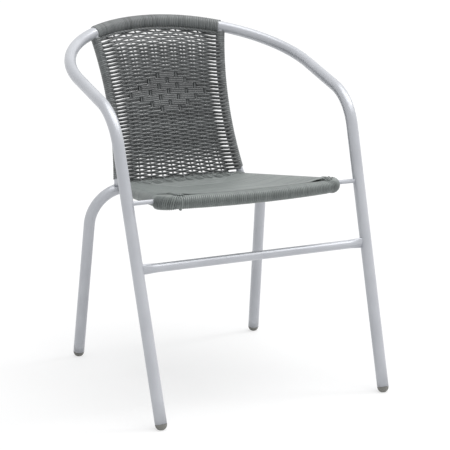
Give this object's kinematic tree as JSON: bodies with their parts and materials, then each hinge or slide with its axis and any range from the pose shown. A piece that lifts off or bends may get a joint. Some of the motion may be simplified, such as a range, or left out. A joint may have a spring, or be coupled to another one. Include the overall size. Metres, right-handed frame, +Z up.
{
  "type": "rattan bistro chair",
  "caption": "Stationary cafe armchair: bent tube frame, hoop arms that run into the back rail, and a woven strand back and seat with a diamond motif.",
  "frame": {"origin": "on the floor under the middle of the chair's overall box", "axes": "+Z up, the front of the chair faces -Y, +X is to the right for someone who looks at the chair from the front"},
  "size_m": [0.563, 0.6198, 0.7368],
  "materials": {
    "frame_paint": "satin silver-grey powder coat",
    "foot_plastic": "matte grey moulded plastic",
    "back_strand": "dark grey extruded strand, low sheen",
    "seat_strand": "lighter grey-green extruded strand, low sheen"
  },
  "bodies": {
    "root": {"arm_hoop": "frame_paint", "rear_leg_arch": "frame_paint", "back_post_left": "frame_paint", "back_post_right": "frame_paint", "seat_frame": "frame_paint", "seat_stub_left": "frame_paint", "seat_stub_right": "frame_paint", "front_stretcher": "frame_paint", "foot_cap_front_left": "foot_plastic", "foot_cap_front_right": "foot_plastic", "foot_cap_rear_left": "foot_plastic", "foot_cap_rear_right": "foot_plastic", "rail_winding": "back_strand", "post_winding_left": "back_strand", "post_winding_right": "back_strand", "seat_front_winding": "seat_strand", "side_winding_left": "seat_strand", "side_winding_right": "seat_strand", "rear_bar_winding": "seat_strand", "back_weave": "back_strand", "back_warp_1": "back_strand", "back_warp_2": "back_strand", "back_warp_3": "back_strand", "back_warp_4": "back_strand", "back_warp_5": "back_strand", "back_warp_6": "back_strand", "back_warp_7": "back_strand", "back_warp_8": "back_strand", "back_warp_9": "back_strand", "rail_edge_strand": "back_strand", "seat_weave": "seat_strand"}
  },
  "joints": []
}
